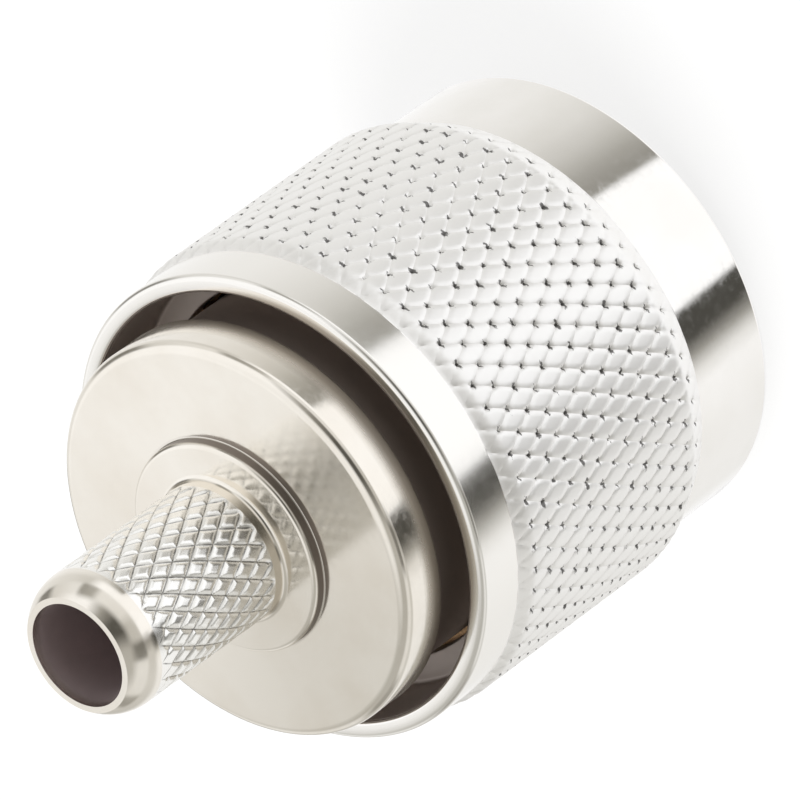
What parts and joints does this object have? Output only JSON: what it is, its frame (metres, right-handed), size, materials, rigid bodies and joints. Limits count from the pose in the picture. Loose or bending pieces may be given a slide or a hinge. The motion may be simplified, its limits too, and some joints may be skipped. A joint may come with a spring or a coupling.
{
  "type": "n type coaxial crimp plug",
  "caption": "Knurled coupling nut turning on a one-piece body with a flange and a knurled crimp stem; slotted outer contact, centre pin, insulators and gasket inside.",
  "frame": {"origin": "centre of the coupling nut's front face, on the plug's axis", "axes": "+Z along the plug's axis, from the mating face to the cable end; the slit in the retaining ring faces +X"},
  "size_m": [0.0204, 0.0204, 0.0303],
  "materials": {
    "nickel": "bright nickel plate on brass",
    "spring_bronze": "plain spring bronze",
    "ptfe": "turned PTFE, waxy",
    "gold": "gold plate",
    "silicone": "moulded silicone rubber"
  },
  "bodies": {
    "body": {"plug_body": "nickel", "outer_contact": "nickel", "front_insulator": "ptfe", "rear_insulator": "ptfe", "centre_pin": "gold", "gasket": "silicone"},
    "nut": {"coupling_nut": "nickel", "retaining_ring": "spring_bronze"}
  },
  "joints": [
    {"name": "nut_spin", "type": "hinge", "parent": "body", "child": "nut", "pos_m": [0, 0, 0.009], "axis": [0, 0, 1], "continuous": true}
  ]
}
